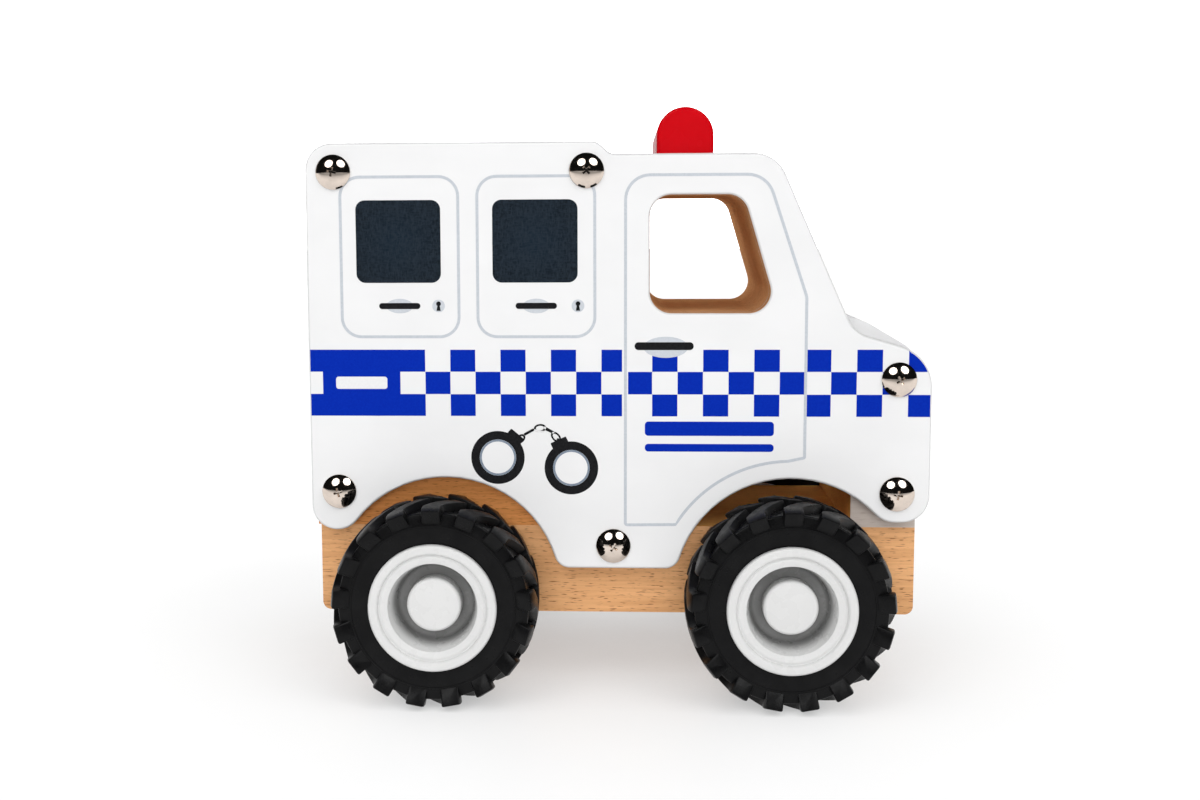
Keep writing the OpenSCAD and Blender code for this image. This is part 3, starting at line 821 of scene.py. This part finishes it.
def cuffLoops():
    p = cuffPrint
    wide, deep = p["block"]
    middle = p["outer"] - p["blockIn"]
    dark, pale, cheeks = [], [], []
    for x, z, lean in p["rings"]:
        dark += [cuffRing(x, z, p["outer"]), cuffRing(x, z, p["inner"])]
        pale += [cuffRing(x, z, p["inner"] - p["gap"]), cuffRing(x, z, p["rim"])]
        angle = math.radians(lean)
        blockX, blockZ = x + middle * math.cos(angle), z + middle * math.sin(angle)
        cheeks.append(turnedBox(blockX, blockZ, deep / 2, wide / 2, angle, p["blockCorner"]))
    return dark, pale, cheeks


cuffDark, cuffPale, cuffCheeks = cuffLoops()
layInk("cuffRings", cuffDark, *filmLow, blackInk)
layInk("cuffRims", cuffPale, *filmLow, steelInk)
layInk("cuffCheeks", cuffCheeks, *filmMid, blackInk)
layInk("cuffChain", chainLoops(), *filmTop, blackInk)

# plain livery stripes below the band
stripePrint = {"stripes": [(7.1, 40.1, 67.3, 71.0), (7.1, 40.1, 63.2, 65.2)], "corner": 0.9}
stripeLoops = [rectangleLoop(*stripe, stripePrint["corner"]) for stripe in stripePrint["stripes"]]
layInk("doorStripes", stripeLoops, *filmLow, blueInk)
print("prints laid")


# turned pieces: a half section is drawn as a ring of vertices and spun about the wheel's axis
def turned(name, section, steps, closed=True):
    bpy.ops.object.select_all(action="DESELECT")
    bpy.ops.mesh.primitive_circle_add(vertices=len(section), radius=10 * mm, fill_type="NOTHING",
                                      location=(0, 0, 0))
    piece = bpy.context.object
    piece.name = piece.data.name = name
    for vertex, (radius, along) in zip(piece.data.vertices, section):
        vertex.co = (radius * mm, -along * mm, 0)
    if not closed:
        ends = {0, len(section) - 1}
        pickEdges(piece, lambda a, b: {a.index, b.index} == ends)
        bpy.ops.mesh.delete(type="EDGE")
        outOfEdit()
    intoEdit(piece, "VERT", everything=True)
    bpy.ops.mesh.spin(steps=steps, angle=2 * math.pi, center=(0, 0, 0), axis=(0, 1, 0))
    outOfEdit()
    mergeAndTurnOut(piece)
    return piece


wheelPlaces = {
    "front_right": (43.3, -43.5), "front_left": (43.3, 43.5),
    "rear_right": (-46.1, -43.5), "rear_left": (-46.1, 43.5),
}
axleZ = 26.3


# the right wheels stand as modelled, the left ones are turned half round
def setOnAxle(model, names, body):
    for corner, (x, y) in wheelPlaces.items():
        end, side = corner.split("_")
        piece = ownCopy(model, end + side.title() + names[0])
        piece.rotation_euler = (0, 0, math.pi if y > 0 else 0)
        piece.location = (x * mm, y * mm, axleZ * mm)
        applyPlace(piece)
        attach(piece, body(corner))
        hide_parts(corner + "_" + names[1])
    bpy.data.objects.remove(model)


tyreShape = {
    "bore": 15.55, "wall": 8.9, "ring": 21.0, "rib": 0.14, "skin": 24.0, "slope": 0.6,
    "crown": 26.3, "shoulder": 25.7, "shoulderH": 9.3, "edge": 25.0, "half": 11.5,
    "lugs": 17, "blockWide": 4.8, "tipWide": 3.6, "block": 4.0, "tip": 0.12, "wrap": 25.5,
    "sweep": 6.5, "bend": 1.15, "draft": 0.5, "root": 0.7, "soft": 0.65,
    "feet": [(-0.3, 0.42), (0.3, 1.2)],  # of a lug's first stations: beyond the ring, under the wall
}


# height of the tread over the axle at h from the tyre's middle
def treadRadius(h):
    t = tyreShape
    if h <= t["shoulderH"]:
        return t["crown"] - (t["crown"] - t["shoulder"]) * (h / t["shoulderH"]) ** 2
    share = (h - t["shoulderH"]) / (t["half"] - t["shoulderH"])
    return t["shoulder"] + (t["edge"] - t["shoulder"]) * share


def makeTyre():
    t = tyreShape
    half = [
        (t["bore"], t["wall"], 0.2), (t["ring"] - 0.5, t["wall"], 0.0),
        (t["ring"] - 0.4, t["wall"] + t["rib"], 0.0), (t["ring"] - 0.1, t["wall"] + t["rib"], 0.0),
        (t["ring"], t["wall"], 0.0), (t["skin"], t["wall"] - t["slope"], 0.6),
    ]
    section = [(r, -h, soft) for r, h, soft in half] + half[::-1]
    carcass = turned("tyreCarcass", roundedLoop(section, 20), 120)
    lugs = ringOfLugs(makeLug())
    applyModifier(carcass, "BOOLEAN", operation="UNION", solver="EXACT", object=lugs)
    bpy.data.objects.remove(lugs)
    mergeAndTurnOut(carcass, 0.2 * micron)
    smooth(carcass, 38)
    dress(carcass, tyreRubber)
    return carcass


# one lug: a bar from the shoulder block to the middle of the tread, curved round the tyre and swept
def makeLug():
    t = tyreShape
    bpy.ops.object.select_all(action="DESELECT")
    bpy.ops.mesh.primitive_cube_add(size=2, location=(0, 0, 0))
    lug = bpy.context.object
    lug.name = lug.data.name = "tyreLug"
    pickEdges(lug, lambda a, b: abs(a.co.y - b.co.y) > 1)
    bpy.ops.mesh.subdivide(number_cuts=7)
    outOfEdit()
    blockEnd = t["half"] - t["block"]
    # nine stations from the shoulder to the middle of the tread
    stations = [t["half"], t["shoulderH"]]
    stations += [blockEnd - (blockEnd - t["tip"]) * k / 6 for k in range(7)]
    feet = [(t["ring"] + beyond, t["wall"] - under) for beyond, under in t["feet"]]
    for vertex in lug.data.vertices:
        side, level = vertex.co.x, vertex.co.z
        station = round((vertex.co.y + 1) / 2 * 8)
        h = stations[station]
        share = max(0.0, (blockEnd - h) / blockEnd)
        along = t["sweep"] * share ** t["bend"]
        wide = t["blockWide"] + (t["tipWide"] - t["blockWide"]) * share
        if level > 0:
            radius, out = treadRadius(h), h
        else:
            radius, out = feet[station] if station < len(feet) else (t["skin"] - t["root"], h)
            wide += 2 * t["draft"]
        angle = (along + side * wide / 2) / t["wrap"]
        vertex.co = (radius * math.sin(angle) * mm, -out * mm, radius * math.cos(angle) * mm)
    mergeAndTurnOut(lug)

    # only what stands out of the tyre is softened
    def weightOf(place, normals):
        paintedFloorShadow = math.hypot(place.x, place.z) > t["skin"] - 0.2 or -place.y > t["wall"] + 0.3
        return 1.0 if paintedFloorShadow else 0.0

    weighEdges(lug.data, 35, weightOf)
    applyModifier(lug, "BEVEL", limit_method="WEIGHT", width=t["soft"] * mm, segments=2)
    return lug


def ringOfLugs(lug):
    t = tyreShape
    pitch = 2 * math.pi / t["lugs"]
    inner = ownCopy(lug, "innerLug")  # other half of the tread, mirrored and half a pitch on
    inner.scale = (1, -1, 1)
    applyPlace(inner)
    inner.rotation_euler = (0, pitch / 2, 0)
    applyPlace(inner)
    joinInto(lug, [inner])
    mergeAndTurnOut(lug)
    hand = bpy.data.objects.new("pitchHand", None)
    bpy.context.scene.collection.objects.link(hand)
    hand.rotation_euler = (0, pitch, 0)
    bpy.context.view_layer.update()
    applyModifier(lug, "ARRAY", count=t["lugs"], use_relative_offset=False,
                  use_object_offset=True, offset_object=hand)
    bpy.data.objects.remove(hand)
    return lug


hubShape = {
    "bore": 2.58, "bossEnd": -13.55, "boss": 5.5, "floor": 1.5, "web": 3.0, "barrel": 13.3,
    "rim": 16.2, "rimH": 10.5, "seat": 15.5, "wall": 8.9, "step": 13.8, "stepIn": 1.1,
    "groove": 0.2, "beadIn": 0.9, "bead": 0.35, "dish": 11.3, "dishFloor": 9.6, "greyFrom": 1.0,
}


def makeHub():
    p = hubShape
    webBack, stepH = p["floor"] - p["web"], p["rimH"] - p["stepIn"]
    section = [
        (p["bore"], p["bossEnd"], 0.2), (p["boss"], p["bossEnd"], 0.4), (p["boss"], webBack, 0.4),
        (p["barrel"], webBack, 0.4), (p["barrel"], -p["rimH"], 0.3), (p["rim"], -p["rimH"], 0.6),
        (p["rim"], -p["wall"], 0.1), (p["seat"], -p["wall"], 0.1), (p["seat"], p["wall"], 0.1),
        (p["rim"], p["wall"], 0.1), (p["rim"], p["rimH"], 0.75), (p["step"], p["rimH"], 0.7),
        (p["step"] - p["groove"], stepH, 0.2), (p["step"] - p["beadIn"], stepH + p["bead"], 0.6),
        (p["dish"], stepH, 0.25), (p["dishFloor"], p["floor"], 0.9), (p["bore"], p["floor"], 0.2),
    ]
    hub = turned("hubModel", roundedLoop(section, 15), 112)
    smooth(hub, 30)

    # faces inside the dish take the plastic with painted shade
    def chooser(place, normal):
        inDish = math.hypot(place.x, place.z) < p["dish"] and -place.y > p["greyFrom"]
        return 1 if inDish else 0

    finishFaces(hub, [hubPlastic, shadedDishPlastic], chooser)
    return hub


capShape = {
    "radius": 6.9, "back": 1.85, "thick": 4.9, "soft": 1.0, "crown": 0.12,
    "bore": 2.55, "boreEnd": 5.55,
}


def makeCap():
    p = capShape
    front = p["back"] + p["thick"]
    section = roundedLoop([
        (0.0, p["boreEnd"], 0), (p["bore"], p["boreEnd"], 0.1), (p["bore"], p["back"], 0.15),
        (p["radius"], p["back"], 0.25), (p["radius"], front - p["crown"], p["soft"]),
        (p["radius"] * 0.45, front - p["crown"] * 0.25, 0), (0.0, front, 0),
    ], 12)
    cap = turned("capModel", section, 80, closed=False)
    smooth(cap, 30)
    dress(cap, hubPlastic)
    return cap


setOnAxle(makeTyre(), ("Tyre", "tyre", "tyre_rubber"), lambda corner: corner + "_wheel")
setOnAxle(makeHub(), ("Hub", "hub", "hub_plastic"), lambda corner: corner + "_wheel")
setOnAxle(makeCap(), ("Cap", "cap", "hub_plastic"), lambda corner: "body")
print("wheels set on their axles")

# round-head screws with a cross recess
screwShape = {
    "head": 4.45, "headH": 2.4, "edge": 0.45, "domeSteps": 14, "rimSoft": 0.12,
    "shank": 1.75, "long": 18.0, "point": 4.0, "tip": 0.35,
    "crossLong": 3.0, "crossWide": 0.7, "crossDeep": 1.4, "crossTaper": 0.62,
    "turns": [12, 47, 75, 31, 58, 8],
}


def screwSection():
    p = screwShape
    rise = p["headH"] - p["edge"]
    dome = (p["head"] ** 2 + rise ** 2) / (2 * rise)
    reach = math.asin(p["head"] / dome)
    section = [(0.0, p["headH"])]
    for k in range(1, p["domeSteps"] + 1):
        angle = reach * k / p["domeSteps"]
        section.append((dome * math.sin(angle), p["headH"] - dome + dome * math.cos(angle)))
    return section + [
        (p["head"], p["rimSoft"]), (p["head"] - p["rimSoft"], 0.0), (p["shank"], 0.0),
        (p["shank"], p["point"] - p["long"]), (p["tip"], -p["long"]), (0.0, -p["long"]),
    ]


def makeScrew():
    p = screwShape
    screw = turned("screwModel", screwSection(), 48, closed=False)
    for wideX, wideZ in ((p["crossLong"], p["crossWide"]), (p["crossWide"], p["crossLong"])):
        bpy.ops.object.select_all(action="DESELECT")
        bpy.ops.mesh.primitive_cube_add(size=mm, location=(0, -p["headH"] * mm, 0),
                                        scale=(wideX, p["crossDeep"] * 2, wideZ))
        bar = bpy.context.object
        applyPlace(bar)
        for vertex in bar.data.vertices:
            if vertex.co.y > -p["headH"] * mm:  # the recess narrows inwards
                vertex.co.x *= p["crossTaper"]
                vertex.co.z *= p["crossTaper"]
        applyModifier(screw, "BOOLEAN", operation="DIFFERENCE", solver="EXACT", object=bar)
        bpy.data.objects.remove(bar)
    smooth(screw, 32)
    dress(screw, screwChrome)
    return screw


def setScrews(model, sideName, side):
    screws = []
    for i, (x, z) in enumerate(panelShape["screws"]):
        screw = ownCopy(model, sideName + "Screw" + str(i))
        screw.rotation_euler = (0, math.radians(screwShape["turns"][i]), 0)
        applyPlace(screw)
        screw.rotation_euler = (0, 0, math.pi if side > 0 else 0)
        screw.location = (x * mm, side * panelShape["faceY"] * mm, z * mm)
        applyPlace(screw)
        screws.append(screw)
    group = joinInto(screws[0], screws[1:])
    group.name = group.data.name = sideName + "PanelScrews"
    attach(group, "body")
    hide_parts(sideName + "_panel_screws")


screwModel = makeScrew()
setScrews(screwModel, "right", -1)
setScrews(screwModel, "left", 1)
bpy.data.objects.remove(screwModel)
print("screws driven")

# inner solids that keep their CAD shape
for nodeName in ("deck_dowels", "cab_dowels", "beacon_dowels"):
    dress(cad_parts[nodeName], dowelWood)
for nodeName in ("front_axle", "rear_axle"):
    dress(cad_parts[nodeName], axleSteel)

# pale floor, two wide soft lamps overhead, a fill lamp in front and a white backdrop
studio = {
    "floor": (0.22, 0.22, 0.22), "floorGlow": 0.85, "bounce": 0.75,
    "underVan": 0.46, "shadeReach": 150.0, "shadeLean": 0.36,
    "paperEnds": -0.55, "paperFull": -0.16, "paperLeft": 0.15,  # in metres, and the glow past its end
    # from, width in radians, power, seen in reflections
    "lamps": [((-0.40, -0.65, 0.65), 0.62, 1.05, True), ((0.50, -0.55, 0.67), 0.62, 1.05, True),
              ((0.02, -0.98, 0.19), 0.6, 1.1, False)],
    "backdrop": 4.0, "backdropSeen": 0.2, "backdropTop": (0.25, 0.45), "backdropEdge": (0.1, 0.6),
    "ceiling": 0.3, "room": 0.03,
}


def makeFloor():
    bpy.ops.object.select_all(action="DESELECT")
    bpy.ops.mesh.primitive_plane_add(size=12, location=(0, 0, 0))
    floor = bpy.context.object
    floor.name = floor.data.name = "paleFloor"
    finish = newFinish("floorWhite", studio["floor"], 0.55, Emission_Color=(1, 1, 1, 1))
    useRoughness(finish, noiseField(finish, (30, 30, 30), 0.5, 0.6))
    tree = finish.node_tree
    # painted shadow: the floor's glow fades under the van, and less in front of it, where the light
    # comes from
    lean = studio["shadeLean"]
    leaning = addNode(tree, "CombineXYZ", {"Y": -lean, "Z": math.sqrt(1 - lean ** 2)}).outputs["Vector"]
    reach = studio["shadeReach"] * mm
    openness = addNode(tree, "AmbientOcclusion", {"Normal": leaning, "Distance": reach})
    paintedFloorShadow = mapRange(tree, openness.outputs["AO"], (0, studio["underVan"]), (1, 1))
    # the van gets a share of the glow
    path = addNode(tree, "LightPath", {}).outputs
    glow = studio["floorGlow"]
    share = mapRange(tree, path["Is Diffuse Ray"], (0, glow), (1, glow * studio["bounce"]))
    # the paper ends in front, as the screws mirror it
    split = addNode(tree, "SeparateXYZ", {"Vector": objectPlace(tree)})
    ending = (studio["paperEnds"], studio["paperLeft"])
    nearness = mapRange(tree, split.outputs["Y"], ending, (studio["paperFull"], 1))
    mirrored = mapRange(tree, path["Is Glossy Ray"], (0, 1), (1, nearness))
    strength = multiply(tree, paintedFloorShadow, multiply(tree, share, mirrored))
    tree.links.new(strength, tree.nodes["Principled BSDF"].inputs["Emission Strength"])
    dress(floor, finish)


def makeLamp(place, width, power, reflected):
    lamp = bpy.data.lights.new("softLamp", "SUN")
    lamp.angle = width
    lamp.energy = power
    holder = bpy.data.objects.new("softLamp", lamp)
    bpy.context.scene.collection.objects.link(holder)
    holder.visible_glossy = reflected
    holder.location = place
    holder.rotation_euler = (-Vector(place)).to_track_quat("-Z", "Y").to_euler()


def makeWorld():
    world = bpy.data.worlds.new("whiteRoom")
    bpy.context.scene.world = world
    world.use_nodes = True
    tree = world.node_tree
    split = addNode(tree, "SeparateXYZ", {"Vector": addNode(tree, "TexCoord", {}).outputs["Generated"]})
    low, high = studio["backdropTop"]
    height = mapRange(tree, split.outputs["Z"], (low, studio["backdrop"]), (high, studio["ceiling"]))
    low, high = studio["backdropEdge"]
    backdrop = mapRange(tree, split.outputs["Y"], (low, studio["room"]), (high, height))
    seen = addNode(tree, "LightPath", {}).outputs
    dimmed = mapRange(tree, seen["Is Glossy Ray"], (0, 1), (1, studio["backdropSeen"]))
    shown = multiply(tree, backdrop, dimmed)
    most = addNode(tree, "Math", {0: shown, 1: seen["Is Camera Ray"]}, operation="MAXIMUM").outputs[0]
    light = tree.nodes["Background"]
    light.inputs["Color"].default_value = (1, 1, 1, 1)
    tree.links.new(most, light.inputs["Strength"])


makeFloor()
for lampSetting in studio["lamps"]:
    makeLamp(*lampSetting)
makeWorld()
bpy.context.scene.view_settings.view_transform = "Standard"
print("studio lit")

# camera at the photograph's viewing angle
view = {
    "place": (1.889, -398.79, 122.18), "yaw": -0.0540, "pitch": 0.1077858, "roll": 0.0048662,
    "focus": 1424.86, "middle": (548.05, 376.16), "size": (1200, 800), "sensor": 36,
}


def makeCamera():
    yaw, pitch, roll = view["yaw"], view["pitch"], view["roll"]
    level = math.cos(pitch)
    ahead = Vector((math.sin(yaw) * level, math.cos(yaw) * level, -math.sin(pitch)))
    right = Vector((math.cos(yaw), -math.sin(yaw), 0))
    down = ahead.cross(right)
    rolledRight = right * math.cos(roll) + down * math.sin(roll)
    rolledDown = down * math.cos(roll) - right * math.sin(roll)
    turn = Matrix((rolledRight, -rolledDown, -ahead)).transposed()
    lens = bpy.data.cameras.new("photoCamera")
    lens.sensor_fit = "HORIZONTAL"
    wide, high = view["size"]
    lens.sensor_width = view["sensor"]
    lens.lens = view["focus"] / wide * view["sensor"]
    lens.shift_x = (wide / 2 - view["middle"][0]) / wide
    lens.shift_y = (view["middle"][1] - high / 2) / wide
    lens.clip_start = 0.01
    camera = bpy.data.objects.new("photoCamera", lens)
    bpy.context.scene.collection.objects.link(camera)
    camera.location = Vector(view["place"]) * mm
    camera.rotation_euler = turn.to_euler()
    bpy.context.scene.camera = camera


makeCamera()
print("van finished")
